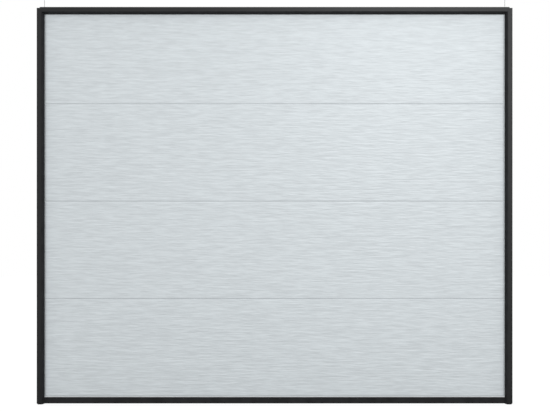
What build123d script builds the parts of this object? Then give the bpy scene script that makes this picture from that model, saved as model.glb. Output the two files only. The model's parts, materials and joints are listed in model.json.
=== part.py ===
"""Sectional garage door, closed, with its frame, tracks and torsion springs.

Axes: +X to the right as seen from outside, +Y into the garage, +Z up.
Heights in the source are above the floor. The origin of the finished part
is the centre of the head's flat front face, which bears on the lintel.
Every length is in millimetres.
"""
import os
from math import sqrt

from build123d import *

# Frame: two folded posts and a folded head, black coated sheet steel.
frame_width = 2430.0
frame_height = 2030.0
frame_sheet = 2.0
post_face = 22.0
post_depth = 135.0
post_lip = 10.0
post_drop = 4.5
post_corner = 6.0
head_face = 21.0
head_depth = 20.0
head_tab = 7.0
head_clearance = 0.3
anchor_radius = 4.5
anchor_setback = 38.0
anchor_first = 200.0
anchor_pitch = 560.0
anchor_count = 4

# Rubber seals that close the gap between frame and curtain.
seal_reach = 13.0
seal_nose = 4.0
seal_wall = 2.2
seal_clip = 10.0
seal_clip_thickness = 3.0

# Curtain: four foam filled sections with tongue and groove edges.
curtain_setback = 22.0
curtain_thickness = 40.0
curtain_cover = 6.0
top_cover = 27.0
floor_gap = 33.0
section_count = 4
section_pitch = 500.0
seam_gap = 2.0
seam_round = 4.0
tongue_rise = 8.0
tongue_root = 24.0
tongue_tip = 18.0
groove_clearance = 2.5
gasket_height = 4.0
gasket_width = 12.0
cap_sheet = 1.5
cap_flange = 70.0
rail_thickness = 3.0
rail_lip_inset = 6.0
rail_lip_width = 2.5
rail_lip_depth = 7.0
seal_tube_wall = 5.0

# Hinges, brackets and rollers on the inside of the curtain.
leaf_sheet = 2.5
hinge_width = 56.0
hinge_inset = 2.0
leaf_start = 12.0
leaf_end = 62.0
pin_radius = 3.0
pin_clearance = 0.05
pin_standoff = 7.5
pin_overhang = 2.0
ear_clearance = 0.3
centre_hinge_offset = 395.0
roller_standoff = 30.0
wheel_radius = 23.0
wheel_width = 12.0
stem_radius = 5.5
stem_clearance = 0.1
wheel_hub_radius = 10.0
wheel_rim_radius = 15.0
wheel_recess = 3.0
carrier_wall = 2.5
bottom_roller_rise = 67.0
bottom_plate_start = 10.0
bottom_plate_height = 115.0
top_roller_drop = 123.0
top_plate_drop = 60.0
top_plate_height = 150.0
plate_ear_drop = 25.0

# Tracks and what carries them.
track_sheet = 1.5
track_play = 1.25
bracket_sheet = 2.0
curve_radius = 300.0
open_margin = 4.0
track_floor_gap = 20.0
track_overrun = 88.0
jamb_bracket_height = 50.0
jamb_bracket_first = 300.0
jamb_bracket_pitch = 550.0
jamb_bracket_count = 3
foot_sheet = 3.0
foot_width = 24.0
foot_height = 60.0
foot_depth = 52.0
foot_hole_spacing = 28.0
flag_reach = 128.0
flag_drop = 70.0
angle_leg = 36.0
hanger_leg = 35.0
hanger_rise = 370.0
hanger_hole_radius = 4.5
hanger_hole_pitch = 35.0
hanger_slot_length = 20.0
hanger_slot_pitch = 30.0
hanger_slot_count = 7
ceiling_plate_length = 75.0
crosstie_height = 40.0
crosstie_depth = 25.0
crosstie_rise = 40.0
buffer_length = 40.0

# Torsion springs on a shaft above the head.
shaft_rise = 160.0
shaft_radius = 12.7
shaft_wall = 2.5
shaft_clearance = 0.05
shaft_end_gap = 0.5
spring_start = 10.0
spring_length = 570.0
spring_inner = 27.0
spring_wire = 6.0
plug_grip = 50.0
plug_flange = 38.0
plug_collar = 30.0
plug_collar_start = 20.0
plug_length = 55.0
winding_hole_radius = 6.5
drum_radius = 58.5
drum_width = 40.0
drum_flange = 8.0
drum_seat = 0.1
groove_pitch = 5.0
groove_depth = 1.2
groove_floor = 2.4
groove_mouth = 4.0
bearing_radius = 23.0
bearing_sheet = 3.0
bearing_plate_height = 170.0
bearing_flange = 47.0
wall_hole_radius = 5.5
wall_hole_spacing = 120.0
centre_hole_spacing_x = 44.0
centre_hole_spacing_z = 110.0
cable_radius = 1.5
cable_standoff = 8.0
cable_pin_radius = 4.0
cable_pin_rise = 16.0

# Positions that follow from the values above.
half_frame = frame_width / 2
half_clear = half_frame - post_face - seal_reach
clear_height = frame_height - head_face - seal_reach
origin_height = frame_height - head_face / 2
post_top = frame_height - post_drop
web_face = half_frame - frame_sheet

curtain_front = curtain_setback
curtain_back = curtain_front + curtain_thickness
half_curtain = half_clear + curtain_cover
curtain_top = clear_height + top_cover
cap_face = half_curtain + cap_sheet
cap_back = curtain_back + cap_sheet
rail_top = floor_gap + rail_thickness
seams = [floor_gap + section_pitch * i for i in range(1, section_count)]

hinge_outer = half_curtain - hinge_inset
hinge_inner = hinge_outer - hinge_width
leaf_face = cap_back + leaf_sheet
roller_y = curtain_back + roller_standoff
pin_y = cap_back + pin_standoff
bottom_roller_z = floor_gap + bottom_roller_rise
top_roller_z = curtain_top - top_roller_drop

track_face = web_face - bracket_sheet
gutter_inner = wheel_width / 2 + track_play
gutter_mid = gutter_inner + track_sheet / 2
gutter_x = track_face - track_sheet / 2 - gutter_mid
web_half = wheel_radius - wheel_width / 2
track_half = web_half + gutter_mid + track_sheet / 2
track_lip = gutter_x - gutter_mid - track_sheet / 2
horizontal_z = clear_height + open_margin + curtain_thickness + roller_standoff
curve_z = horizontal_z - curve_radius
curve_y = roller_y + curve_radius
track_end = curve_y + curtain_top - floor_gap + track_overrun
hanger_top = frame_height + hanger_rise
curve_step = top_roller_z - curve_z
top_roller_y = curve_y - sqrt(curve_radius ** 2 - curve_step ** 2)

cable_x = (cap_face + track_lip) / 2
cable_y = curtain_back + cable_standoff
shaft_z = frame_height + shaft_rise
shaft_y = cable_y + cable_radius + drum_radius
shaft_bore = shaft_radius + shaft_clearance
spring_outer = spring_inner + spring_wire
drum_outer = cable_x + 12.0
cable_pin_z = rail_top + bottom_plate_start + cable_pin_rise


def prism_x(points, x0, x1):
    """Closed outline in y and z, drawn out along x."""
    plane = Plane(origin=(x0, 0, 0), x_dir=(0, 1, 0), z_dir=(1, 0, 0))
    face = make_face(Polyline(points, close=True))
    return extrude(plane * face, x1 - x0)


def prism_y(points, y0, y1):
    """Closed outline in x and z, drawn out along y."""
    plane = Plane(origin=(0, y1, 0), x_dir=(1, 0, 0), z_dir=(0, -1, 0))
    face = make_face(Polyline(points, close=True))
    return extrude(plane * face, y1 - y0)


def prism_z(points, z0, z1):
    """Closed outline in x and y, drawn out along z."""
    face = make_face(Polyline(points, close=True))
    return extrude(Plane.XY.offset(z0) * face, z1 - z0)


def rectangle(a0, a1, b0, b1):
    """Four corners of an outline."""
    return [(a0, b0), (a1, b0), (a1, b1), (a0, b1)]


def rod_x(y, z, radius, x0, x1):
    """Round bar along x."""
    plane = Plane(origin=(x0, y, z), x_dir=(0, 1, 0), z_dir=(1, 0, 0))
    return extrude(plane * Circle(radius), x1 - x0)


def rod_y(x, z, radius, y0, y1):
    """Round bar along y."""
    plane = Plane(origin=(x, y1, z), x_dir=(1, 0, 0), z_dir=(0, -1, 0))
    return extrude(plane * Circle(radius), y1 - y0)


def rod_z(x, y, radius, z0, z1):
    """Round bar along z."""
    return extrude(Plane(origin=(x, y, z0)) * Circle(radius), z1 - z0)


def turned_x(points, y, z):
    """Outline of x and radius, turned once round an axis along x."""
    face = make_face(Polyline(points, close=True))
    solid = revolve(face, Axis.X)
    return Pos(0, y, z) * solid


def left_of(shape):
    """The same piece on the left side."""
    return mirror(shape, about=Plane.YZ)


def both(shape):
    """The piece and its mirror image."""
    return [shape, left_of(shape)]


def save(node, solids):
    """Move the solids to the origin of the part and write one file."""
    if not isinstance(solids, list):
        solids = [solids]
    parts = []
    for solid in solids:
        parts.extend(solid.solids())
    whole = Compound(children=parts)
    moved = whole.moved(Location((0, 0, -origin_height)))
    moved.label = node
    export_step(moved, os.path.join("parts", node + ".step"))


def section_outline(bottom, top, grooved, tongued):
    """Cross-section of one section, tongue above and groove below."""
    middle = (curtain_front + curtain_back) / 2
    low = bottom + (seam_gap / 2 if grooved else 0)
    high = top - (seam_gap / 2 if tongued else 0)
    points = [(curtain_front, low), (curtain_front, high)]
    if tongued:
        points.append((middle - tongue_root / 2, high))
        points.append((middle - tongue_tip / 2, high + tongue_rise))
        points.append((middle + tongue_tip / 2, high + tongue_rise))
        points.append((middle + tongue_root / 2, high))
    points.append((curtain_back, high))
    points.append((curtain_back, low))
    if grooved:
        roof = bottom - seam_gap / 2 + tongue_rise + gasket_height
        points.append((middle + tongue_root / 2 + groove_clearance, low))
        points.append((middle + tongue_tip / 2 + groove_clearance, roof))
        points.append((middle - tongue_tip / 2 - groove_clearance, roof))
        points.append((middle - tongue_root / 2 - groove_clearance, low))
    return points, low, high


def section(bottom, top, grooved, tongued):
    """One flat section with rounded outer edges at its seams."""
    points, low, high = section_outline(bottom, top, grooved, tongued)
    solid = prism_x(points, -half_curtain, half_curtain)
    edges = []
    for edge in solid.edges().filter_by(Axis.X):
        centre = edge.center()
        if abs(centre.Y - curtain_front) > 0.01:
            continue
        if grooved and abs(centre.Z - low) < 0.01:
            edges.append(edge)
        if tongued and abs(centre.Z - high) < 0.01:
            edges.append(edge)
    return fillet(edges, seam_round)


def section_limits(index):
    """Lower and upper level of a section."""
    bottom = rail_top if index == 0 else seams[index - 1]
    top = curtain_top if index == section_count - 1 else seams[index]
    return bottom, top


def make_sections():
    """Sections from the floor up."""
    for index in range(section_count):
        bottom, top = section_limits(index)
        last = index == section_count - 1
        save(f"section_{index + 1}", section(bottom, top, index > 0, not last))


def make_end_caps():
    """Folded sheet cap on both ends of each section."""
    caps = []
    for index in range(section_count):
        bottom, top = section_limits(index)
        outline = [
            (half_curtain, curtain_front + cap_sheet),
            (cap_face, curtain_front + cap_sheet),
            (cap_face, cap_back),
            (cap_face - cap_flange, cap_back),
            (cap_face - cap_flange, curtain_back),
            (half_curtain, curtain_back),
        ]
        cap = prism_z(outline, bottom + seam_gap, top - seam_gap)
        caps += both(cap)
    save("end_caps", caps)


def make_gaskets():
    """Foam strip in each groove, resting on the tongue below it."""
    middle = (curtain_front + curtain_back) / 2
    strips = []
    for seam in seams:
        low = seam - seam_gap / 2 + tongue_rise
        outline = rectangle(
            middle - gasket_width / 2,
            middle + gasket_width / 2,
            low,
            low + gasket_height,
        )
        strips.append(prism_x(outline, -half_curtain, half_curtain))
    save("section_gaskets", strips)


def rail_lips():
    """The two downward lips that hold the bottom seal."""
    front = curtain_front + rail_lip_inset
    back = curtain_back - rail_lip_inset
    low = floor_gap - rail_lip_depth
    return [
        rectangle(front, front + rail_lip_width, low, floor_gap),
        rectangle(back - rail_lip_width, back, low, floor_gap),
    ]


def make_bottom_rail():
    """Aluminium rail under the lowest section."""
    plate = rectangle(curtain_front, curtain_back, floor_gap, rail_top)
    rail = prism_x(plate, -half_curtain, half_curtain)
    for lip in rail_lips():
        rail = rail + prism_x(lip, -half_curtain, half_curtain)
    save("bottom_rail", rail)


def make_bottom_seal():
    """Hollow rubber seal that meets the floor."""
    outline = rectangle(curtain_front, curtain_back, 0, floor_gap)
    seal = prism_x(outline, -half_curtain, half_curtain)
    low = seal.edges().filter_by(Axis.X).group_by(Axis.Z)[0]
    seal = fillet(low, seal_tube_wall)
    hollow = rectangle(
        curtain_front + seal_tube_wall,
        curtain_back - seal_tube_wall,
        seal_tube_wall,
        floor_gap - rail_lip_depth - seal_tube_wall,
    )
    tube = prism_x(hollow, -half_curtain - 1, half_curtain + 1)
    tube = fillet(tube.edges().filter_by(Axis.X), 3)
    seal = seal - tube
    for lip in rail_lips():
        seal = seal - prism_x(lip, -half_curtain - 1, half_curtain + 1)
    save("bottom_seal", seal)


def lower_leaf(x0, x1, base, seam, carrier):
    """Hinge leaf on the lower section, with ears for pin and roller."""
    plate = rectangle(base, base + leaf_sheet, seam - leaf_end, seam - leaf_start)
    leaf = prism_x(plate, x0, x1)
    reach = roller_y + 9 if carrier else base + pin_standoff + 6
    ear = [
        (base, seam - leaf_end),
        (base, seam + 7),
        (reach, seam + 7),
        (reach, seam - 10),
        (base + 7, seam - leaf_end),
    ]
    leaf = leaf + prism_x(ear, x0, x0 + leaf_sheet)
    leaf = leaf + prism_x(ear, x1 - leaf_sheet, x1)
    pin = pin_radius + pin_clearance
    leaf = leaf - rod_x(base + pin_standoff, seam, pin, x0 - 1, x1 + 1)
    if carrier:
        leaf = leaf + rod_x(roller_y, seam, stem_radius + carrier_wall, x0, x1)
        bore = stem_radius + stem_clearance
        leaf = leaf - rod_x(roller_y, seam, bore, x0 - 1, x1 + 1)
    return leaf


def upper_leaf(x0, x1, base, seam):
    """Hinge leaf on the upper section, inside the ears of the lower one."""
    inner0 = x0 + leaf_sheet + ear_clearance
    inner1 = x1 - leaf_sheet - ear_clearance
    plate = rectangle(base, base + leaf_sheet, seam + leaf_start, seam + leaf_end)
    leaf = prism_x(plate, inner0, inner1)
    ear = [
        (base, seam - 5),
        (base, seam + leaf_end),
        (base + 5, seam + leaf_end),
        (base + pin_standoff + 5, seam + 5),
        (base + pin_standoff + 5, seam - 5),
    ]
    leaf = leaf + prism_x(ear, inner0, inner0 + leaf_sheet)
    leaf = leaf + prism_x(ear, inner1 - leaf_sheet, inner1)
    pin = pin_radius + pin_clearance
    return leaf - rod_x(base + pin_standoff, seam, pin, x0 - 1, x1 + 1)


def make_hinges():
    """Side hinges with roller carriers and plain centre hinges."""
    right = []
    centre = []
    pins = []
    half = hinge_width / 2
    for seam in seams:
        right.append(lower_leaf(hinge_inner, hinge_outer, cap_back, seam, True))
        right.append(upper_leaf(hinge_inner, hinge_outer, cap_back, seam))
        ends = (hinge_inner - pin_overhang, hinge_outer + pin_overhang)
        pins += both(rod_x(pin_y, seam, pin_radius, *ends))
        x0 = centre_hinge_offset - half
        x1 = centre_hinge_offset + half
        centre += both(lower_leaf(x0, x1, curtain_back, seam, False))
        centre += both(upper_leaf(x0, x1, curtain_back, seam))
        plain_y = curtain_back + pin_standoff
        ends = (x0 - pin_overhang, x1 + pin_overhang)
        pins += both(rod_x(plain_y, seam, pin_radius, *ends))
    save("side_hinges_right", right)
    save("side_hinges_left", [left_of(leaf) for leaf in right])
    save("centre_hinges", centre)
    save("hinge_pins", pins)


def carrier_bracket(y, z, plate_low, plate_high):
    """Plate with two ears and a tube that carries one roller stem."""
    outline = rectangle(cap_back, leaf_face, plate_low, plate_high)
    bracket = prism_x(outline, hinge_inner, hinge_outer)
    ear = [
        (cap_back, plate_low),
        (cap_back, plate_high - plate_ear_drop),
        (y + 5, z + 10),
        (y + 10, z),
        (y + 5, z - 10),
        (leaf_face + 6, plate_low),
    ]
    for x0 in (hinge_inner, hinge_outer - leaf_sheet):
        bracket = bracket + prism_x(ear, x0, x0 + leaf_sheet)
    tube = stem_radius + carrier_wall
    bracket = bracket + rod_x(y, z, tube, hinge_inner, hinge_outer)
    bore = stem_radius + stem_clearance
    return bracket - rod_x(y, z, bore, hinge_inner - 1, hinge_outer + 1)


def make_brackets():
    """Bottom brackets with the cable pins, and top brackets."""
    low = rail_top + bottom_plate_start
    high = low + bottom_plate_height
    bottom = carrier_bracket(roller_y, bottom_roller_z, low, high)
    pin = rod_x(
        cable_y,
        cable_pin_z,
        cable_pin_radius,
        hinge_outer - leaf_sheet,
        track_lip - 0.5,
    )
    save("bottom_brackets", both(bottom + pin))
    low = top_roller_z - top_plate_drop
    high = low + top_plate_height
    top = carrier_bracket(top_roller_y, top_roller_z, low, high)
    save("top_brackets", both(top))


def roller_places():
    """Axis of each roller on one side, from the floor up."""
    places = [(roller_y, bottom_roller_z)]
    places += [(roller_y, seam) for seam in seams]
    places.append((top_roller_y, top_roller_z))
    return places


def wheel(y, z):
    """Wheel with a round rim that runs in the gutters of the track."""
    bore = stem_radius + stem_clearance
    half = wheel_width / 2
    web = half - wheel_recess
    outline = [
        (-half, bore),
        (half, bore),
        (half, wheel_hub_radius),
        (web, wheel_hub_radius),
        (web, wheel_rim_radius - 1),
        (half, wheel_rim_radius),
        (half, web_half),
        (-half, web_half),
        (-half, wheel_rim_radius),
        (-web, wheel_rim_radius - 1),
        (-web, wheel_hub_radius),
        (-half, wheel_hub_radius),
    ]
    face = make_face(Polyline(outline, close=True))
    disc = Pos(0, web_half) * Circle(half)
    above = Pos(0, web_half + half) * Rectangle(2 * half, 2 * half)
    rim = disc & above
    solid = revolve(face + rim, Axis.X)
    return Pos(gutter_x, y, z) * solid


def make_rollers():
    """Wheels and stems on both sides."""
    wheels = []
    stems = []
    for y, z in roller_places():
        wheels += both(wheel(y, z))
        ends = (hinge_inner - 6, gutter_x + wheel_width / 2)
        stems += both(rod_x(y, z, stem_radius, *ends))
    save("roller_wheels", wheels)
    save("roller_stems", stems)


def make_posts():
    """Folded posts with anchor holes in their side webs."""
    face_end = half_frame - post_face
    outline = [
        (face_end, 0),
        (half_frame, 0),
        (half_frame, post_depth),
        (web_face - post_lip, post_depth),
        (web_face - post_lip, post_depth - frame_sheet),
        (web_face, post_depth - frame_sheet),
        (web_face, frame_sheet),
        (face_end, frame_sheet),
    ]
    post = prism_z(outline, 0, post_top)
    corner = [
        (half_frame - post_corner, 0),
        (half_frame, 0),
        (half_frame, post_corner),
    ]
    post = post - prism_y(corner, -1, post_depth + 1)
    relief_low = curve_z - flag_drop
    relief = rectangle(web_face - post_lip - 1, web_face, relief_low, post_top + 1)
    post = post - prism_y(relief, post_depth - frame_sheet - 1, post_depth + 1)
    for i in range(anchor_count):
        z = anchor_first + anchor_pitch * i
        post = post - rod_x(anchor_setback, z, anchor_radius, web_face - 1, half_frame + 1)
    save("post_right", post)
    save("post_left", left_of(post))


def make_head():
    """Folded head whose ends rest on the posts."""
    inner = half_frame - post_face - head_clearance
    outer = half_frame - post_face + head_tab
    low = frame_height - head_face
    face = [
        (-inner, low),
        (inner, low),
        (inner, post_top),
        (outer, post_top),
        (outer, frame_height),
        (-outer, frame_height),
        (-outer, post_top),
        (-inner, post_top),
    ]
    head = prism_y(face, 0, frame_sheet)
    top = rectangle(0, head_depth, frame_height - frame_sheet, frame_height)
    head = head + prism_x(top, -outer, outer)
    save("head", head)


def seal_outline(edge):
    """Lip seal, distance along the wall against depth, edge at the lip."""
    root = edge + seal_reach
    clip_back = frame_sheet + seal_clip_thickness
    return [
        (root, 0),
        (root - seal_nose, 0),
        (edge, curtain_front - frame_sheet),
        (edge, curtain_front),
        (edge + seal_wall, curtain_front),
        (root - seal_nose + seal_wall, clip_back),
        (root + seal_clip, clip_back),
        (root + seal_clip, frame_sheet),
        (root, frame_sheet),
    ]


def make_seals():
    """Side seals and head seal, mitred where they meet."""
    far = seal_reach + seal_clip
    near = 5.0
    side = prism_z(seal_outline(half_clear), 0, clear_height + far)
    above = [
        (half_clear - near, clear_height - near),
        (half_clear + far + near, clear_height + far + near),
        (half_clear - near, clear_height + far + near),
    ]
    side = side - prism_y(above, -1, curtain_back)
    save("side_seals", both(side))
    outline = [(depth, height) for height, depth in seal_outline(clear_height)]
    reach = half_clear + far
    head = prism_x(outline, -reach, reach)
    below = [
        (half_clear - near, clear_height - near),
        (half_clear + far + near, clear_height + far + near),
        (half_clear + far + near, clear_height - near),
    ]
    cut = prism_y(below, -1, curtain_back)
    head = head - cut - left_of(cut)
    save("head_seal", head)


def track_face_sketch():
    """Cross-section of the track: depth along x, width along y."""
    low = gutter_mid - track_sheet / 2
    high = gutter_mid + track_sheet / 2
    ring = Circle(high) - Circle(low)
    half_plane = Pos(high, 0) * Rectangle(2 * high, 4 * high)
    front = Pos(web_half, 0) * (ring & half_plane)
    back = mirror(front, about=Plane.YZ)
    web = Pos(0, gutter_mid) * Rectangle(2 * web_half, track_sheet)
    return web + front + back


def make_tracks():
    """Vertical, curved and horizontal lengths of both tracks."""
    sketch = track_face_sketch()
    floor = Plane(
        origin=(gutter_x, roller_y, track_floor_gap),
        x_dir=(0, -1, 0),
        z_dir=(0, 0, 1),
    )
    vertical = extrude(floor * sketch, curve_z - track_floor_gap)
    bend_plane = Plane(
        origin=(gutter_x, roller_y, curve_z),
        x_dir=(0, -1, 0),
        z_dir=(0, 0, 1),
    )
    axis = Axis((0, curve_y, curve_z), (-1, 0, 0))
    bend = revolve(bend_plane * sketch, axis, 90)
    back = Plane(
        origin=(gutter_x, curve_y, horizontal_z),
        x_dir=(0, 0, 1),
        z_dir=(0, 1, 0),
    )
    level = extrude(back * sketch, track_end - curve_y)
    save("vertical_track_right", vertical)
    save("vertical_track_left", left_of(vertical))
    save("curved_track_right", bend)
    save("curved_track_left", left_of(bend))
    save("horizontal_track_right", level)
    save("horizontal_track_left", left_of(level))


def make_track_brackets():
    """Flat brackets between track and post, and the flag plates."""
    plates = []
    front = roller_y - web_half
    back = roller_y + web_half
    for i in range(jamb_bracket_count):
        low = jamb_bracket_first + jamb_bracket_pitch * i
        outline = rectangle(front, back, low, low + jamb_bracket_height)
        plates += both(prism_x(outline, track_face, web_face))
    save("jamb_brackets", plates)
    end = curve_y + flag_reach
    flag = [
        (roller_y - web_half, curve_z - flag_drop),
        (roller_y - web_half, post_top - 60),
        (post_depth, post_top - 5),
        (curve_y - 62, horizontal_z + 18),
        (end, horizontal_z + track_half - 1),
        (end, horizontal_z - track_half + 1),
        (curve_y, horizontal_z - track_half),
        (curve_y - 90, horizontal_z - 65),
        (post_depth + 45, curve_z + 100),
        (post_depth, curve_z),
        (roller_y + track_half, curve_z - flag_drop),
    ]
    save("flag_plates", both(prism_x(flag, track_face, web_face)))


def make_floor_brackets():
    """Feet that stand on the floor between the posts and the tracks."""
    end = web_face - foot_width
    outline = [
        (end, 0),
        (web_face, 0),
        (web_face, foot_height),
        (track_face, foot_height),
        (track_face, foot_sheet),
        (end, foot_sheet),
    ]
    front = roller_y - foot_depth / 2
    foot = prism_y(outline, front, front + foot_depth)
    x = (end + track_face) / 2
    for sign in (-1, 1):
        y = roller_y + sign * foot_hole_spacing / 2
        foot = foot - rod_z(x, y, anchor_radius, -1, foot_sheet + 1)
    save("floor_brackets", both(foot))


def make_track_angles():
    """Angle along the top of each horizontal track."""
    top = horizontal_z + track_half + frame_sheet + 0.25
    outline = [
        (web_face, top - angle_leg),
        (web_face, top),
        (track_lip - 3, top),
        (track_lip - 3, top - frame_sheet),
        (track_face, top - frame_sheet),
        (track_face, top - angle_leg),
    ]
    face = make_face(Polyline(outline, close=True))
    start = curve_y + flag_reach
    plane = Plane(origin=(0, track_end, 0), x_dir=(1, 0, 0), z_dir=(0, -1, 0))
    angle = extrude(plane * face, track_end - start)
    save("track_angles", both(angle))


def make_rear_hangers():
    """Angles that hold the rear ends of the tracks to the ceiling."""
    low = horizontal_z - track_half
    inner = half_frame - hanger_leg
    back = track_end + hanger_leg
    outline = [
        (inner, track_end),
        (half_frame, track_end),
        (half_frame, back),
        (web_face, back),
        (web_face, track_end + frame_sheet),
        (inner, track_end + frame_sheet),
    ]
    hanger = prism_z(outline, low, hanger_top)
    far = half_frame - ceiling_plate_length
    plate = rectangle(far, half_frame, track_end, back)
    hanger = hanger + prism_z(plate, hanger_top - 3, hanger_top)
    hole_y = (track_end + back) / 2
    for i in range(2):
        x = far + 20 + hanger_hole_pitch * i
        hole = rod_z(x, hole_y, hanger_hole_radius, hanger_top - 4, hanger_top + 1)
        hanger = hanger - hole
    width = 2 * hanger_hole_radius
    middle = (inner + web_face) / 2
    for i in range(hanger_slot_count):
        z = hanger_top - hanger_slot_pitch * (i + 1)
        slot = SlotOverall(hanger_slot_length, width)
        across = Plane(origin=(middle, back, z), x_dir=(0, 0, 1), z_dir=(0, -1, 0))
        hanger = hanger - extrude(across * slot, 2 * hanger_leg)
        along = Plane(origin=(inner, hole_y, z), x_dir=(0, 0, 1), z_dir=(1, 0, 0))
        hanger = hanger - extrude(along * slot, 2 * hanger_leg)
    save("rear_hangers", both(hanger))


def make_crosstie():
    """Open channel that ties the two rear hangers together."""
    front = track_end + frame_sheet
    back = front + crosstie_depth
    low = horizontal_z + crosstie_rise
    high = low + crosstie_height
    outline = [
        (front, low),
        (back, low),
        (back, low + frame_sheet),
        (front + frame_sheet, low + frame_sheet),
        (front + frame_sheet, high - frame_sheet),
        (back, high - frame_sheet),
        (back, high),
        (front, high),
    ]
    save("crosstie", prism_x(outline, -web_face, web_face))


def make_buffers():
    """Rubber block at the rear end of each horizontal track."""
    x0 = gutter_x - gutter_mid
    x1 = track_face - track_sheet
    outline = rectangle(x0, x1, horizontal_z - web_half, horizontal_z + web_half)
    block = prism_y(outline, track_end - buffer_length, track_end)
    save("buffers", both(block))


def make_shaft():
    """Hollow spring shaft."""
    end = half_frame - shaft_end_gap
    shaft = rod_x(shaft_y, shaft_z, shaft_radius, -end, end)
    bore = rod_x(shaft_y, shaft_z, shaft_radius - shaft_wall, -end - 1, end + 1)
    save("spring_shaft", shaft - bore)


def make_springs():
    """Coils as plain sleeves of the coils' own inner and outer size."""
    x1 = spring_start + spring_length
    outline = rectangle(spring_start, x1, spring_inner, spring_outer)
    spring = turned_x(outline, shaft_y, shaft_z)
    save("torsion_spring_right", spring)
    save("torsion_spring_left", left_of(spring))


def make_plugs():
    """Fixed plugs at the middle and winding plugs at the outer ends."""
    web = bearing_sheet / 2
    grip = spring_inner - 0.1
    fixed = [
        (web, 20.2),
        (web, plug_flange),
        (spring_start, plug_flange),
        (spring_start, grip),
        (spring_start + plug_grip, grip),
        (spring_start + plug_grip, 14.5),
        (7, 14.5),
        (7, 20.2),
    ]
    end = spring_start + spring_length
    winding = [
        (end - plug_grip, shaft_bore),
        (end - plug_grip, grip),
        (end, grip),
        (end, plug_flange),
        (end + plug_collar_start, plug_flange),
        (end + plug_collar_start, plug_collar),
        (end + plug_length, plug_collar),
        (end + plug_length, shaft_bore),
    ]
    plugs = both(turned_x(fixed, shaft_y, shaft_z))
    cone = turned_x(winding, shaft_y, shaft_z)
    x = end + (plug_collar_start + plug_length) / 2
    out = plug_collar + 1
    radius = winding_hole_radius
    cone = cone - rod_z(x, shaft_y, radius, shaft_z - out, shaft_z + out)
    cone = cone - rod_y(x, shaft_z, radius, shaft_y - out, shaft_y + out)
    plugs += both(cone)
    save("spring_plugs", plugs)


def drum_grooves(root):
    """Outline of the grooves that the cable winds into."""
    points = []
    for i in range(-4, 2):
        middle = cable_x + groove_pitch * i
        points.append((middle - groove_mouth / 2, root + groove_depth))
        points.append((middle - groove_floor / 2, root))
        points.append((middle + groove_floor / 2, root))
        points.append((middle + groove_mouth / 2, root + groove_depth))
    return points


def make_drums():
    """Cable drums with a flanged rim, a disc web and a hub."""
    root = drum_radius - drum_seat
    inner = drum_outer - drum_width
    hub = 20.0
    outline = [
        (inner - 22, shaft_bore),
        (inner - 22, hub),
        (drum_outer - 8, hub),
        (drum_outer - 8, root - 5),
        (inner, root - 5),
        (inner, root + 4),
        (inner + 3, root + 4),
        (inner + 3, root + groove_depth),
        *drum_grooves(root),
        (drum_outer - 5, root + drum_flange),
        (drum_outer, root + drum_flange),
        (drum_outer, shaft_bore),
    ]
    save("cable_drums", both(turned_x(outline, shaft_y, shaft_z)))


def make_bearing_plates():
    """End plates with a wall flange and a hole for the bearing."""
    outer = half_frame - 5
    inner = outer - bearing_sheet
    half = bearing_plate_height / 2
    side = [
        (0, shaft_z - half),
        (0, shaft_z + half),
        (shaft_y - 60, shaft_z + half),
        (shaft_y + 36, shaft_z + 36),
        (shaft_y + 36, shaft_z - 36),
        (shaft_y - 60, shaft_z - half),
    ]
    plate = prism_x(side, inner, outer)
    flange = rectangle(inner - bearing_flange, inner, shaft_z - half, shaft_z + half)
    plate = plate + prism_y(flange, 0, bearing_sheet)
    plate = plate - rod_x(shaft_y, shaft_z, bearing_radius, inner - 1, outer + 1)
    x = inner - bearing_flange / 2
    for sign in (-1, 1):
        z = shaft_z + sign * wall_hole_spacing / 2
        plate = plate - rod_y(x, z, wall_hole_radius, -1, bearing_sheet + 1)
    save("bearing_plates", both(plate))


def make_centre_bracket():
    """Bracket that holds both fixed plugs and the middle bearing."""
    half = bearing_plate_height / 2
    web = bearing_sheet / 2
    flange = rectangle(-36, 36, shaft_z - half, shaft_z + half)
    bracket = prism_y(flange, 0, bearing_sheet)
    side = [
        (0, shaft_z - half + 12),
        (0, shaft_z + half - 12),
        (shaft_y + 30, shaft_z + 46),
        (shaft_y + 46, shaft_z + 30),
        (shaft_y + 46, shaft_z - 30),
        (shaft_y + 30, shaft_z - 46),
    ]
    bracket = bracket + prism_x(side, -web, web)
    bracket = bracket - rod_x(shaft_y, shaft_z, 20, -web - 1, web + 1)
    for sx in (-1, 1):
        for sz in (-1, 1):
            x = sx * centre_hole_spacing_x / 2
            z = shaft_z + sz * centre_hole_spacing_z / 2
            bracket = bracket - rod_y(x, z, wall_hole_radius, -1, bearing_sheet + 1)
    save("centre_bracket", bracket)


def make_bearings():
    """Ball bearings as plain rings round the shaft."""
    outer = half_frame - 2
    inner = outer - 9
    end = rectangle(inner, outer, shaft_bore, bearing_radius)
    rings = both(turned_x(end, shaft_y, shaft_z))
    middle = rectangle(-6, 6, shaft_bore, 20)
    rings.append(turned_x(middle, shaft_y, shaft_z))
    save("shaft_bearings", rings)


def make_cables():
    """Lift cables from the bottom brackets up and over the drums."""
    eye = cable_pin_radius + 0.1 + cable_radius
    reach = drum_radius + cable_radius
    start = (cable_x, cable_y, cable_pin_z + eye)
    corner = (cable_x, cable_y, shaft_z)
    middle = (cable_x, shaft_y, shaft_z + reach)
    last = (cable_x, shaft_y + reach, shaft_z)
    path = Wire([Line(start, corner), ThreePointArc(corner, middle, last)])
    face = Plane(origin=start) * Circle(cable_radius)
    cable = sweep(face, path=path)
    ring_plane = Plane(
        origin=(cable_x, cable_y, cable_pin_z),
        x_dir=(0, 1, 0),
        z_dir=(1, 0, 0),
    )
    ring = ring_plane * Torus(eye, cable_radius)
    save("lift_cables", both(cable + ring))


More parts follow.
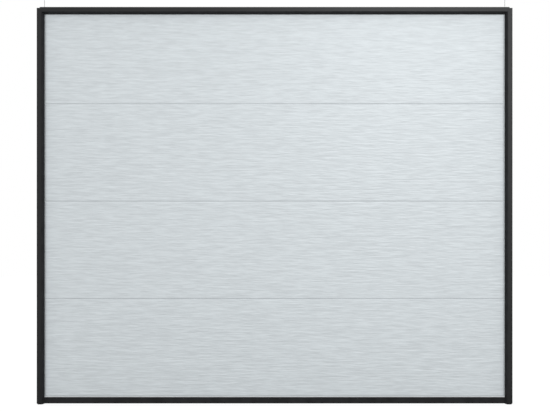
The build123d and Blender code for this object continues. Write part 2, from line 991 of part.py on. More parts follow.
os.makedirs("parts", exist_ok=True)
make_sections()
make_end_caps()
make_gaskets()
make_bottom_rail()
make_bottom_seal()
make_hinges()
make_brackets()
make_rollers()
make_posts()
make_head()
make_seals()
make_tracks()
make_track_brackets()
make_floor_brackets()
make_track_angles()
make_rear_hangers()
make_crosstie()
make_buffers()
make_shaft()
make_springs()
make_plugs()
make_drums()
make_bearing_plates()
make_centre_bracket()
make_bearings()
make_cables()
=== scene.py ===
# %% [markdown]
# A closed sectional garage door: four flat steel sections, white and embossed with
# a wood grain, in a slim black frame, with the running gear behind.
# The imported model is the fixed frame. It already has the true sizes, so this lesson
# adds only what a solid model leaves out: the grain, the coils, the rope, the small
# fasteners and the finish of every surface.

# %% Load the frame
import json
import math
import random

import bmesh
import bpy
from mathutils import Matrix, Vector, noise


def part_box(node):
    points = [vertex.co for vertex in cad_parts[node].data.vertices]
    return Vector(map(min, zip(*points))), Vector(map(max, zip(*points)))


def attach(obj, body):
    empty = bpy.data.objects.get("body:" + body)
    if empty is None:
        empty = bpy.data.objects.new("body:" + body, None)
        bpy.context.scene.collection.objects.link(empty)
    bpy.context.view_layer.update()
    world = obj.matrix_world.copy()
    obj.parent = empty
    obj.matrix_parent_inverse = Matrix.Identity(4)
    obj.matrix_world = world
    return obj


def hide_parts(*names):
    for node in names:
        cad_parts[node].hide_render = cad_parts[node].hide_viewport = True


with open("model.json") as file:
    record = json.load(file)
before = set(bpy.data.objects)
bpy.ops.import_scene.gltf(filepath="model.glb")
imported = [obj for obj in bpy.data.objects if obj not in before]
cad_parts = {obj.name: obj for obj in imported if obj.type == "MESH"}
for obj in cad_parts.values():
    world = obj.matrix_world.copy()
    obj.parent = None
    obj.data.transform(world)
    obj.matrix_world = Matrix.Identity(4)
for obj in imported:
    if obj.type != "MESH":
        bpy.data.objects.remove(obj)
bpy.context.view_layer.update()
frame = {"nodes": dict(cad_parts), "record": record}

nodes = frame["nodes"]
print("nodes in the frame:", len(nodes))

# %% [markdown]
# Every later piece is measured from the floor, as a fitter would measure it. The
# origin lies on the head, so the floor's level is read from the feet of the tracks.

# %% Heights above the floor
floor_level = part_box("floor_brackets")[0].z


def height(above_floor):
    """The z of a point so many metres above the floor."""
    return floor_level + above_floor


print("floor level", round(floor_level, 4))

# %% [markdown]
# The photograph is square on and shows no side of the frame, so the camera stands
# level with the middle of the door. An orthographic camera could do this too, but a
# lens is nearer to how such a picture is taken. From five metres away, the head
# still hides the tracks behind it.

# %% Camera
camera_distance = 5.0
camera_height = 1.0135
camera_offset = 0.002
lens_mm = 64.08
eye = Vector((camera_offset, -camera_distance, height(camera_height)))
camera_data = bpy.data.cameras.new("camera")
camera_data.lens = lens_mm
camera = bpy.data.objects.new("camera", camera_data)
camera.location = eye
camera.rotation_euler = (math.radians(90), 0, 0)
bpy.context.scene.collection.objects.link(camera)
bpy.context.scene.camera = camera
bpy.context.scene.view_settings.view_transform = "Standard"
print("camera", [round(c, 3) for c in eye], "lens", lens_mm)

# %% [markdown]
# The background is plain white to the camera and in reflections. The light that
# falls on the door is softer: a surround that brightens towards the sky, so that a
# shallow relief shows. An image of a studio could light it too, but a plain gradient
# needs no file and keeps a colour about as it is written.

# %% Surround
surround_level = 0.785
surround_slope = 0.62
surround_colour = (0.985, 1.0, 1.01, 1)


def make_surround():
    """A world that is white where it is seen and gentle where it lights."""
    world = bpy.data.worlds.new("surround")
    world.use_nodes = True
    bpy.context.scene.world = world
    tree = world.node_tree
    seen = tree.nodes.new("ShaderNodeBackground")
    seen.inputs["Color"].default_value = (1, 1, 1, 1)
    lit = tree.nodes["Background"]
    lit.inputs["Color"].default_value = surround_colour
    direction = tree.nodes.new("ShaderNodeTexCoord")
    split = tree.nodes.new("ShaderNodeSeparateXYZ")
    level = tree.nodes.new("ShaderNodeMapRange")
    level.inputs["From Min"].default_value = -1
    level.inputs["To Min"].default_value = surround_level - surround_slope
    level.inputs["To Max"].default_value = surround_level + surround_slope
    tree.links.new(direction.outputs["Generated"], split.inputs[0])
    tree.links.new(split.outputs["Z"], level.inputs["Value"])
    tree.links.new(level.outputs[0], lit.inputs["Strength"])
    path = tree.nodes.new("ShaderNodeLightPath")
    camera_or_gloss = tree.nodes.new("ShaderNodeMath")
    camera_or_gloss.operation = "MAXIMUM"
    seen_ray = tree.nodes.new("ShaderNodeMath")
    seen_ray.operation = "MAXIMUM"
    mix = tree.nodes.new("ShaderNodeMixShader")
    tree.links.new(path.outputs["Is Camera Ray"], camera_or_gloss.inputs[0])
    tree.links.new(path.outputs["Is Glossy Ray"], camera_or_gloss.inputs[1])
    tree.links.new(camera_or_gloss.outputs[0], seen_ray.inputs[0])
    tree.links.new(path.outputs["Is Transmission Ray"], seen_ray.inputs[1])
    tree.links.new(seen_ray.outputs[0], mix.inputs[0])
    tree.links.new(lit.outputs[0], mix.inputs[1])
    tree.links.new(seen.outputs[0], mix.inputs[2])
    tree.links.new(mix.outputs[0], tree.nodes["World Output"].inputs["Surface"])


make_surround()
print("surround level", surround_level, "slope", surround_slope)

# %% [markdown]
# Two square soft boxes do the rest. The key lamp stands to the upper right, so the
# coat brightens towards that corner, and the other one lights the garage side. A
# large soft box gives no hard edge to a shadow, which suits a flat pale door.

# %% Lamps


def make_lamp(name, place, aim, size, watts, colour):
    """A square soft box that faces a point."""
    data = bpy.data.lights.new(name, "AREA")
    data.size = size
    data.energy = watts
    data.color = colour
    lamp = bpy.data.objects.new(name, data)
    lamp.location = place
    lamp.rotation_euler = (Vector(aim) - Vector(place)).to_track_quat("-Z", "Y").to_euler()
    bpy.context.scene.collection.objects.link(lamp)


door_middle = (0, 0, height(1.0))
make_lamp("key_lamp", place=(1.4, -4.8, 0.7), aim=door_middle, size=1.4, watts=93,
          colour=(0.97, 1.0, 1.02))
make_lamp("back_lamp", place=(-2.4, 5.5, 1.6), aim=door_middle, size=2.5, watts=110,
          colour=(1.0, 1.0, 1.0))
print("lamps", len(bpy.data.lights))

# %% [markdown]
# The floor is white to the camera, and a share of real shading is mixed in, so it
# still shows the shadow of the door. For the light that it throws back it is a
# middling grey, or it would wash the relief out from below.

# %% Floor
floor_half = 9.0
shading_share = 0.16
bounce_grey = 0.36


def make_floor():
    """A flat square under the door, which stays off the model."""
    mesh = bpy.data.meshes.new("floor")
    bm = bmesh.new()
    bmesh.ops.create_grid(bm, x_segments=1, y_segments=1, size=floor_half)
    bmesh.ops.translate(bm, verts=bm.verts, vec=(0, 0, floor_level))
    bm.to_mesh(mesh)
    bm.free()
    floor = bpy.data.objects.new("floor", mesh)
    bpy.context.scene.collection.objects.link(floor)
    material = bpy.data.materials.new("floor_white")
    material.use_nodes = True
    tree = material.node_tree
    paint = tree.nodes["Principled BSDF"]
    paint.inputs["Base Color"].default_value = (1, 1, 1, 1)
    paint.inputs["Roughness"].default_value = 0.9
    bounce = tree.nodes.new("ShaderNodeBsdfDiffuse")
    bounce.inputs["Color"].default_value = (bounce_grey, bounce_grey, bounce_grey, 1)
    glow = tree.nodes.new("ShaderNodeEmission")
    glow.inputs["Color"].default_value = (1, 1, 1, 1)
    shaded = tree.nodes.new("ShaderNodeMixShader")
    shaded.inputs[0].default_value = shading_share
    seen = tree.nodes.new("ShaderNodeMixShader")
    path = tree.nodes.new("ShaderNodeLightPath")
    tree.links.new(glow.outputs[0], shaded.inputs[1])
    tree.links.new(paint.outputs[0], shaded.inputs[2])
    tree.links.new(path.outputs["Is Camera Ray"], seen.inputs[0])
    tree.links.new(bounce.outputs[0], seen.inputs[1])
    tree.links.new(shaded.outputs[0], seen.inputs[2])
    tree.links.new(seen.outputs[0], tree.nodes["Material Output"].inputs["Surface"])
    mesh.materials.append(material)


make_floor()
print("floor", 2 * floor_half, "metres square")

# %% [markdown]
# Each finish is a material built from a few nodes: a pattern on Object coordinates,
# which drives the colour, the gloss and a fine relief. One small helper class holds
# these steps, so that a finish below reads as a short recipe.

# %% Helper for finishes


class Finish:
    """A procedural material on Object coordinates."""

    def __init__(self, name, metal=0.0, shine=0.5):
        self.material = bpy.data.materials.new(name)
        self.material.use_nodes = True
        self.tree = self.material.node_tree
        self.shader = self.tree.nodes["Principled BSDF"]
        self.shader.inputs["Metallic"].default_value = metal
        self.shader.inputs["Specular IOR Level"].default_value = shine
        self.place = self.tree.nodes.new("ShaderNodeTexCoord").outputs["Object"]
        self.normal = None
        print("finish", name)

    def cloud(self, grain, stretch=(1, 1, 1), detail=3.0):
        """Noise whose features are about grain metres wide, stretched along the axes."""
        mapping = self.tree.nodes.new("ShaderNodeMapping")
        mapping.inputs["Scale"].default_value = [1 / (grain * s) for s in stretch]
        texture = self.tree.nodes.new("ShaderNodeTexNoise")
        texture.inputs["Scale"].default_value = 1.0
        texture.inputs["Detail"].default_value = detail
        self.tree.links.new(self.place, mapping.inputs["Vector"])
        self.tree.links.new(mapping.outputs[0], texture.inputs["Vector"])
        return texture.outputs["Fac"]

    def flakes(self, grain):
        """Flat cells about grain metres wide, each with a value of its own."""
        texture = self.tree.nodes.new("ShaderNodeTexVoronoi")
        texture.inputs["Scale"].default_value = 1 / grain
        split = self.tree.nodes.new("ShaderNodeSeparateColor")
        self.tree.links.new(self.place, texture.inputs["Vector"])
        self.tree.links.new(texture.outputs["Color"], split.inputs[0])
        return split.outputs[0]

    def colour(self, driver, low, high, start=0.3, end=0.7):
        """Blends from one colour to another as the driver brightens."""
        ramp = self.tree.nodes.new("ShaderNodeValToRGB")
        ramp.color_ramp.elements[0].position = start
        ramp.color_ramp.elements[0].color = (*low, 1)
        ramp.color_ramp.elements[1].position = end
        ramp.color_ramp.elements[1].color = (*high, 1)
        self.tree.links.new(driver, ramp.inputs[0])
        self.tree.links.new(ramp.outputs[0], self.shader.inputs["Base Color"])

    def gloss(self, driver, smooth, rough):
        """Makes the surface smoother where the driver is dark and rougher where it is bright."""
        spread = self.tree.nodes.new("ShaderNodeMapRange")
        spread.inputs["To Min"].default_value = smooth
        spread.inputs["To Max"].default_value = rough
        self.tree.links.new(driver, spread.inputs["Value"])
        self.tree.links.new(spread.outputs[0], self.shader.inputs["Roughness"])

    def band(self, low, high):
        """One between two depths behind the front of the frame, and nought elsewhere."""
        split = self.tree.nodes.new("ShaderNodeSeparateXYZ")
        self.tree.links.new(self.place, split.inputs[0])
        tests = []
        for operation, limit in (("GREATER_THAN", low), ("LESS_THAN", high)):
            test = self.tree.nodes.new("ShaderNodeMath")
            test.operation = operation
            test.inputs[1].default_value = limit
            self.tree.links.new(split.outputs["Y"], test.inputs[0])
            tests.append(test)
        both = self.tree.nodes.new("ShaderNodeMath")
        both.operation = "MULTIPLY"
        self.tree.links.new(tests[0].outputs[0], both.inputs[0])
        self.tree.links.new(tests[1].outputs[0], both.inputs[1])
        return both.outputs[0]

    def repaint(self, mask, colour):
        """Covers the colour so far with another where the mask is one."""
        under = self.shader.inputs["Base Color"].links[0].from_socket
        mix = self.tree.nodes.new("ShaderNodeMix")
        mix.data_type = "RGBA"
        colours = [s for s in mix.inputs if s.type == "RGBA"]
        colours[1].default_value = (*colour, 1)
        self.tree.links.new(mask, mix.inputs[0])
        self.tree.links.new(under, colours[0])
        result = [s for s in mix.outputs if s.type == "RGBA"][0]
        self.tree.links.new(result, self.shader.inputs["Base Color"])

    def relief(self, driver, depth, strength=1.0):
        """Raises the surface by up to depth metres where the driver is bright."""
        bump = self.tree.nodes.new("ShaderNodeBump")
        bump.inputs["Distance"].default_value = depth
        bump.inputs["Strength"].default_value = strength
        self.tree.links.new(driver, bump.inputs["Height"])
        if self.normal is not None:
            self.tree.links.new(self.normal, bump.inputs["Normal"])
        self.normal = bump.outputs[0]
        self.tree.links.new(self.normal, self.shader.inputs["Normal"])


# %% [markdown]
# The outside of a section is polyester coated steel in a cool white. Its main grain
# is real geometry further down, so the material only adds to it: more streaks of
# the same kind, with a slight change of tone, and fine pores between them.

# %% Grained white coat
grain_low = (0.55, 0.578, 0.591)
grain_high = (0.63, 0.663, 0.677)


def make_grain_coat():
    coat = Finish("white_grain_coat", shine=0.4)
    streaks = coat.cloud(grain=0.009, stretch=(8, 1, 0.9), detail=2.5)
    pores = coat.cloud(grain=0.002, stretch=(12, 1, 1), detail=2.0)
    coat.colour(streaks, low=grain_low, high=grain_high)
    coat.gloss(pores, smooth=0.34, rough=0.5)
    coat.relief(streaks, depth=0.0013)
    coat.relief(pores, depth=0.00012)
    return coat.material


grain_coat = make_grain_coat()

# %% [markdown]
# Inside, such sections have a pebbled stucco skin in the same coat, which is fine
# enough to be relief in the material. The folded end caps are smooth. The joints
# are painted near black as shade, from partway round the rounded edge of a seam
# inwards, so that a seam reads as a thin dark line. A dark strip of mesh could do it
# too, but a band of depths behind the front of the frame, painted as shade, gives the
# same line with no extra piece.

# %% Stucco and smooth white coats
cool_white_low = (0.575, 0.603, 0.616)
cool_white_high = (0.607, 0.639, 0.653)
# Depths behind the front between which the joints are painted near black as shade, partly over the
# rounded seam edges, and the colour of that painted shade.
joint_front = 0.0232
joint_back = 0.06
joint_painted_shade = (0.012, 0.012, 0.013)
finishes = {}


def make_stucco_coat():
    coat = Finish("white_stucco_coat", shine=0.4)
    pebbles = coat.cloud(grain=0.006, detail=1.0)
    clouds = coat.cloud(grain=0.4)
    coat.colour(clouds, low=cool_white_low, high=cool_white_high)
    # Painted shade: between the two depths, the joints are painted near black.
    coat.repaint(coat.band(joint_front, joint_back), joint_painted_shade)
    coat.gloss(pebbles, smooth=0.36, rough=0.5)
    coat.relief(pebbles, depth=0.0005, strength=0.6)
    return coat.material


def make_smooth_coat():
    coat = Finish("white_smooth_coat", shine=0.4)
    clouds = coat.cloud(grain=0.3)
    skin = coat.cloud(grain=0.0015, detail=2.0)
    coat.colour(clouds, low=cool_white_low, high=cool_white_high)
    coat.gloss(skin, smooth=0.3, rough=0.42)
    coat.relief(skin, depth=0.00003)
    return coat.material


finishes["white_panel"] = make_stucco_coat()
smooth_coat = make_smooth_coat()

# %% [markdown]
# The frame is powder coated black, which has a soft orange peel. The seals are
# rubber: duller, a little greyer with bloom, and finely lined by the die. One plain
# black would do from far off, but frame and seal would melt into one bar.

# %% Black finishes


def make_powder_coat():
    coat = Finish("black_powder_coat", shine=0.3)
    peel = coat.cloud(grain=0.0016, detail=2.0)
    dust = coat.cloud(grain=0.25, detail=5.0)
    coat.colour(dust, low=(0.0055, 0.0056, 0.006), high=(0.0095, 0.0096, 0.01))
    coat.gloss(peel, smooth=0.38, rough=0.52)
    coat.relief(peel, depth=0.00008)
    return coat.material


def make_rubber():
    rubber = Finish("black_rubber", shine=0.18)
    bloom = rubber.cloud(grain=0.05, detail=5.0)
    drawn = rubber.cloud(grain=0.0008, stretch=(30, 1, 1), detail=2.0)
    rubber.colour(bloom, low=(0.009, 0.009, 0.0095), high=(0.018, 0.018, 0.019))
    rubber.gloss(bloom, smooth=0.62, rough=0.8)
    rubber.relief(drawn, depth=0.00004)
    return rubber.material


finishes["black_coat"] = make_powder_coat()
finishes["black_rubber"] = make_rubber()

# %% [markdown]
# Zinc is the main metal here. Hot-dipped sheet has flat crystals, the spangle, just
# under a centimetre wide, each with its own grey. The cells of a Voronoi texture
# give these, which noise can't. Plated steel is finer and brighter, with lines
# along the shaft from drawing.

# %% Zinc finishes


def make_galvanised():
    zinc = Finish("galvanised_steel", metal=0.9)
    spangle = zinc.flakes(grain=0.009)
    haze = zinc.cloud(grain=0.03, detail=5.0)
    zinc.colour(spangle, low=(0.4, 0.42, 0.435), high=(0.58, 0.6, 0.615), start=0.0, end=1.0)
    zinc.gloss(spangle, smooth=0.28, rough=0.46)
    zinc.relief(haze, depth=0.00005)
    return zinc.material


def make_plated():
    plate = Finish("zinc_plated_steel", metal=0.95)
    drawn = plate.cloud(grain=0.0006, stretch=(40, 1, 1), detail=2.0)
    haze = plate.cloud(grain=0.02, detail=4.0)
    plate.colour(haze, low=(0.5, 0.505, 0.5), high=(0.66, 0.66, 0.65))
    plate.gloss(drawn, smooth=0.2, rough=0.36)
    plate.relief(drawn, depth=0.00002)
    return plate.material


finishes["galvanised_steel"] = make_galvanised()
finishes["bright_steel"] = make_plated()

# %% [markdown]
# Rope and springs are greased or oiled, so one slow cloud drives both their tone
# and their gloss: where the film is thick, the steel is darker and shinier.

# %% Greased and oiled steel


def make_rope_steel():
    rope = Finish("wire_rope_steel", metal=0.9)
    grease = rope.cloud(grain=0.012, detail=4.0)
    rope.colour(grease, low=(0.3, 0.3, 0.3), high=(0.5, 0.5, 0.5))
    rope.gloss(grease, smooth=0.3, rough=0.5)
    return rope.material


def make_spring_steel():
    steel = Finish("oiled_spring_steel", metal=0.75)
    oil = steel.cloud(grain=0.03, detail=5.0)
    scale = steel.cloud(grain=0.001, detail=2.0)
    steel.colour(oil, low=(0.055, 0.053, 0.05), high=(0.12, 0.118, 0.115))
    steel.gloss(oil, smooth=0.28, rough=0.5)
    steel.relief(scale, depth=0.00003)
    return steel.material


finishes["cable_steel"] = make_rope_steel()
finishes["spring_steel"] = make_spring_steel()

# %% [markdown]
# Aluminium comes in two ways: drums and plugs are cast, grainy and dull, and the
# rail under the lowest section is drawn, with fine lines along it.

# %% Aluminium finishes


def make_cast():
    cast = Finish("cast_aluminium", metal=0.85)
    sand = cast.cloud(grain=0.0012)
    clouds = cast.cloud(grain=0.02, detail=4.0)
    cast.colour(clouds, low=(0.44, 0.445, 0.45), high=(0.6, 0.605, 0.61))
    cast.gloss(sand, smooth=0.42, rough=0.62)
    cast.relief(sand, depth=0.0001)
    return cast.material


def make_drawn_aluminium():
    drawn = Finish("drawn_aluminium", metal=0.9)
    lines = drawn.cloud(grain=0.0008, stretch=(60, 1, 1), detail=2.0)
    clouds = drawn.cloud(grain=0.08, stretch=(2, 1, 1))
    drawn.colour(clouds, low=(0.66, 0.665, 0.67), high=(0.8, 0.805, 0.81))
    drawn.gloss(lines, smooth=0.26, rough=0.42)
    drawn.relief(lines, depth=0.00003)
    return drawn.material


finishes["cast_aluminium"] = make_cast()
finishes["aluminium"] = make_drawn_aluminium()

# %% [markdown]
# The roller wheels are natural nylon: warm white and a little waxy. Light enters it
# before it comes back, so it gets a small share of subsurface scattering.

# %% Nylon


def make_nylon():
    nylon = Finish("natural_nylon", shine=0.45)
    clouds = nylon.cloud(grain=0.012)
    nylon.colour(clouds, low=(0.66, 0.63, 0.55), high=(0.76, 0.74, 0.67))
    nylon.gloss(clouds, smooth=0.3, rough=0.45)
    skin = nylon.cloud(grain=0.0015, detail=2.0)
    nylon.relief(skin, depth=0.00004)
    nylon.shader.inputs["Subsurface Weight"].default_value = 0.15
    nylon.shader.inputs["Subsurface Radius"].default_value = (0.004, 0.003, 0.002)
    return nylon.material


finishes["nylon"] = make_nylon()

# %% [markdown]
# Each node of the frame takes the finish of its slot in the record. The sections
# and end caps share one slot, and differ only in how their skins are rolled. It
# could be done node by node, but one loop over the record forgets none.

# %% Finish every node


def dress(node, material):
    """Puts a finish in every material slot of a node."""
    for slot in nodes[node].material_slots:
        slot.material = material


for subpart in frame["record"]["subparts"]:
    dress(subpart["node"], finishes[subpart["material_slot"]])
dress("end_caps", smooth_coat)

# %% [markdown]
# A new piece ends the same way each time: its normals turn outwards, it takes a
# finish and it rides on the door. This helper does that for a closed mesh.

# %% Helper that finishes a piece


def keep(bm, name, slot, material=None, smooth=True):
    """Turns a bmesh into a piece of the door and returns its object."""
    bmesh.ops.recalc_face_normals(bm, faces=bm.faces)
    for face in bm.faces:
        face.smooth = smooth
    mesh = bpy.data.meshes.new(name)
    bm.to_mesh(mesh)
    bm.free()
    mesh.materials.append(material or finishes[slot])
    piece = bpy.data.objects.new(name, mesh)
    bpy.context.scene.collection.objects.link(piece)
    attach(piece, "root")
    mesh.calc_loop_triangles()
    print(name, len(mesh.loop_triangles), "triangles")
    return piece


# %% [markdown]
# The wood grain is rolled into the outer skin, here at most eight tenths of a
# millimetre deep. A bump map would do for one view, but here it is a real surface:
# a fine grid over each section, raised by stretched noise. Here and there the grain
# bows round a knot, so each section first draws the places and sizes of its own.

# %% Knots of the grain
knots_per_section = 9
knot_reach = (0.035, 0.075)
knot_slender = (4.0, 8.0)
random.seed(68)


def knot_places(low, high):
    """Random middles of the bowed grain on one section, with their own sizes."""
    spots = []
    for _ in range(knots_per_section):
        middle = Vector((random.uniform(low.x, high.x), 0, random.uniform(low.z, high.z)))
        spots.append((middle, random.uniform(*knot_reach), random.uniform(*knot_slender)))
    return spots


print("knots on a section", knots_per_section)

# %% [markdown]
# The height of the grain at a point is a coarse noise and a fine one, both drawn out
# along the section into streaks. A slow drift and the knots bend them, and patches
# of stronger and weaker grain keep them from looking even. One plain noise would be
# quicker, but it looks the same all over the door.

# %% Height of the grain
streak_length = 0.085
streak_pitch = 0.0105
drift = 0.011
drift_length = 0.42
drift_pitch = 0.09
knot_bow = 0.35
knot_edge = 4.0
knot_fall = 1.6
coarse_share = 0.62
fine_share = 0.38
fine_length_ratio = 0.35
fine_pitch_ratio = 0.5
patch_length = 0.3
patch_pitch = 0.12
patch_level = 0.75
patch_swing = 0.5
patch_seed = 9


def grain_height(x, z, spots, seed):
    """How far the grain stands out at a point, from 0 to 1."""
    bend = drift * noise.noise(Vector((x / drift_length, seed, z / drift_pitch)))
    bow = 0.0
    for middle, reach, slender in spots:
        across = (z - middle.z) / reach
        along = (x - middle.x) / (reach * slender)
        distance = across * across + along * along
        if distance < knot_edge:
            bow += (1 if across > 0 else -1) * reach * knot_bow * math.exp(-knot_fall * distance)
    level = z + bend - bow
    coarse = noise.noise(Vector((x / streak_length, seed, level / streak_pitch)))
    fine_length = streak_length * fine_length_ratio
    fine_pitch = streak_pitch * fine_pitch_ratio
    fine = noise.noise(Vector((x / fine_length, -seed, level / fine_pitch)))
    patch_place = Vector((x / patch_length, seed + patch_seed, z / patch_pitch))
    patch = patch_level + patch_swing * noise.noise(patch_place)
    return min(1.0, max(0.0, 0.5 + patch * (coarse_share * coarse + fine_share * fine)))


print("a streak is about", streak_length, "by", streak_pitch, "metres")

# %% [markdown]
# The skin stops just short of the rounded seams and of the rubber lips, and its
# height fades out at that border. The rim is then pulled back into the section and
# closed behind, so that the skin is a thin sheet with no open edge. Cutting the
# grain into the section itself could do it too, but that mesh has no grid to move.

# %% Outer skins
emboss_depth = 0.0008
skin_seat = 0.00006
rim_depth = 0.0003
rim_fade = 0.006
column_step = 0.011
row_step = 0.0029
seam_margin = 0.0045
seal_inner = 1.1797
head_lip = height(1.9955)
section_count = 4
seed_step = 3.7


def skin_limits(node):
    """The lowest and highest corner of the part of a section that its skin covers."""
    low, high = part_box(node)
    top = min(high.z - seam_margin, head_lip)
    return Vector((-seal_inner, low.y, low.z + seam_margin)), Vector((seal_inner, low.y, top))


def make_skin(node, seed):
    """The embossed sheet on the outside of one section."""
    low, high = skin_limits(node)
    spots = knot_places(low, high)
    columns = round((high.x - low.x) / column_step)
    rows = round((high.z - low.z) / row_step)
    bm = bmesh.new()
    bmesh.ops.create_grid(bm, x_segments=columns, y_segments=rows, size=0.5)
    bmesh.ops.scale(bm, verts=bm.verts, vec=(high.x - low.x, high.z - low.z, 1))
    bmesh.ops.rotate(bm, verts=bm.verts, matrix=Matrix.Rotation(math.radians(90), 3, "X"))
    bmesh.ops.translate(bm, verts=bm.verts, vec=(low + high) / 2)
    for vert in bm.verts:
        border = min(vert.co.x - low.x, high.x - vert.co.x, vert.co.z - low.z, high.z - vert.co.z)
        fade = min(1.0, max(0.0, border / rim_fade))
        rise = grain_height(vert.co.x, vert.co.z, spots, seed)
        vert.co.y = low.y - skin_seat - fade * emboss_depth * rise
    rim = [edge for edge in bm.edges if edge.is_boundary]
    pulled = bmesh.ops.extrude_edge_only(bm, edges=rim)["geom"]
    back = [part for part in pulled if isinstance(part, bmesh.types.BMVert)]
    for vert in back:
        vert.co.y = low.y + rim_depth
    back_edges = [edge for edge in bm.edges if edge.is_boundary]
    bmesh.ops.contextual_create(bm, geom=back_edges)
    keep(bm, node + "_grain", "white_panel", grain_coat)


for number in range(1, section_count + 1):
    make_skin(f"section_{number}", seed_step * number)

# %% [markdown]
# A torsion spring is one wire wound close, some ninety turns. The spin operator
# with a step along the axis sweeps a ring of vertices into that helix, and the two
# ends are capped. A curve with a round bevel could do it too, but one spin gives an
# even, closed mesh. It takes the place of the plain sleeve in the solid model.

# %% Torsion springs
wire_radius = 0.00298
wire_sides = 8
steps_per_turn = 22
pitch_per_radius = 2.013


def make_spring(node):
    """One wire wound to the length and the outer size of the sleeve."""
    low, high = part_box(node)
    axis = (low + high) / 2
    outer = (high.z - low.z) / 2
    mean = outer - wire_radius
    pitch = wire_radius * pitch_per_radius
    turns = math.floor((high.x - low.x - 2 * wire_radius) / pitch)
    run = turns * pitch
    start = Vector((axis.x - run / 2, axis.y, axis.z + mean))
    bm = bmesh.new()
    circle = bmesh.ops.create_circle(bm, cap_ends=False, segments=wire_sides, radius=wire_radius)
    ring = circle["verts"]
    bmesh.ops.rotate(bm, verts=ring, matrix=Matrix.Rotation(math.radians(90), 3, "X"))
    bmesh.ops.translate(bm, verts=ring, vec=start)
    steps = turns * steps_per_turn
    bmesh.ops.spin(bm, geom=bm.verts[:] + bm.edges[:], cent=axis, axis=(1, 0, 0),
                   dvec=(run / steps, 0, 0), angle=turns * 2 * math.pi, steps=steps)
    bmesh.ops.holes_fill(bm, edges=[edge for edge in bm.edges if edge.is_boundary], sides=0)
    piece = keep(bm, node + "_coils", "spring_steel")
    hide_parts(node)
    print("turns", turns)


make_spring("torsion_spring_left")
make_spring("torsion_spring_right")

# %% [markdown]
# The cables, the bearings and the set screws all go by the shaft. Its middle and its
# radius could be typed in, but a box round the bar already has both.

# %% Helper for the shaft


def shaft_line():
    """The middle of the shaft and its radius."""
    low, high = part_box("spring_shaft")
    return (low + high) / 2, (high.z - low.z) / 2


print("shaft radius", round(shaft_line()[1], 4))

# %% [markdown]
# Wire rope is strands laid round each other, here as a lobed outline that turns as
# it goes, because six real strands would cost many more faces on a rope of three
# millimetres. The straight run is one spin about its own axis, with a step along
# it, and the stretch on the drum is a second spin about the shaft.

# %% Helpers for the rope
strands = 6
rope_lay = 0.024
steps_per_lay = 12
drum_arc = math.radians(180)
rope_radius = 0.0015
strand_valley = 0.78


def rope_outline(bm, radius, middle):
    """A round face whose every second point is drawn in, between two strands."""
    ring = bmesh.ops.create_circle(bm, cap_ends=True, segments=strands * 2, radius=radius)["verts"]
    for index, vert in enumerate(ring):
        if index % 2:
            vert.co *= strand_valley
    bmesh.ops.translate(bm, verts=ring, vec=middle)


def wind_rope(part, foot, axis):
    """One rope from its foot straight up, and then over the drum."""
    rope_outline(part, rope_radius, foot)
    run = axis.z - foot.z
    steps = round(run / rope_lay * steps_per_lay)
    twist = run / rope_lay * 2 * math.pi
    made = bmesh.ops.spin(part, geom=part.faces[:], cent=foot, axis=(0, 0, 1),
                          dvec=(0, 0, run / steps), angle=twist, steps=steps)
    end = [f for f in made["geom_last"] if isinstance(f, bmesh.types.BMFace)]
    wraps = round(drum_arc * (axis.y - foot.y) / rope_lay * steps_per_lay)
    centre = Vector((foot.x, axis.y, axis.z))
    bmesh.ops.spin(part, geom=end, cent=centre, axis=(-1, 0, 0), angle=drum_arc, steps=wraps)


print("rope", 2 * rope_radius, "metres thick, one turn of the lay in", rope_lay)

# %% [markdown]
# Two lift cables carry the curtain, in place of the plain bars of the solid model.
# Each runs taut from beside the pin on the bottom bracket, straight up, and over its
# drum. Its foot is read from the box round the bars, which has their eyes at the
# pins in it. So the rope lies a few millimetres nearer to the curtain than the bars,
# and that much off the groove of the drum.

# %% Lift cables


def make_cables():
    """Both ropes in one piece, each spun in a mesh of its own first."""
    low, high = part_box("lift_cables")
    axis, _ = shaft_line()
    bm = bmesh.new()
    for side in (-1, 1):
        part = bmesh.new()
        foot = Vector((side * (high.x - rope_radius), low.y + rope_radius, low.z))
        wind_rope(part, foot, axis)
        mesh = bpy.data.meshes.new("rope_part")
        part.to_mesh(mesh)
        part.free()
        bm.from_mesh(mesh)
        bpy.data.meshes.remove(mesh)
    piece = keep(bm, "lift_cable_rope", "cable_steel")
    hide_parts("lift_cables")


make_cables()

# %% [markdown]
# The shaft turns in three ball bearings, each of two turned rings with a ring of
# balls between. A ring could be one cylinder cut out of another, but one small
# outline spun about the shaft brings its chamfers with it.

# %% Helper for bearing rings
race_chamfer = 0.0006
race_steps = 40


def race(bm, axis, x_low, x_high, inner, outer):
    """A plain ring about the shaft with a small chamfer."""
    edge = race_chamfer
    outline = [(x_low + edge, inner), (x_high - edge, inner), (x_high, inner + edge),
               (x_high, outer - edge), (x_high - edge, outer), (x_low + edge, outer),
               (x_low, outer - edge), (x_low, inner + edge)]
    corners = [bm.verts.new((x, axis.y, axis.z + r)) for x, r in outline]
    edges = [bm.edges.new((corners[i - 1], corners[i])) for i in range(len(corners))]
    bmesh.ops.spin(bm, geom=corners + edges, cent=axis, axis=(1, 0, 0),
                   angle=2 * math.pi, steps=race_steps, use_merge=True)


print("ring chamfer", race_chamfer)

# %% [markdown]
# One bearing sits in each end plate and a smaller one in the middle bracket. Balls
# made from an icosphere have no poles, and eighty faces are enough for a ball of
# some five millimetres that is half hidden between its rings.

# %% Shaft bearings
ball_count = 9
ball_radius = 0.0026
bearing_width = 0.009
end_bearing_radius = 0.023
middle_bearing_radius = 0.02
middle_bearing_half = 0.006
shaft_play = 0.00005
ball_lane_half = 0.0016


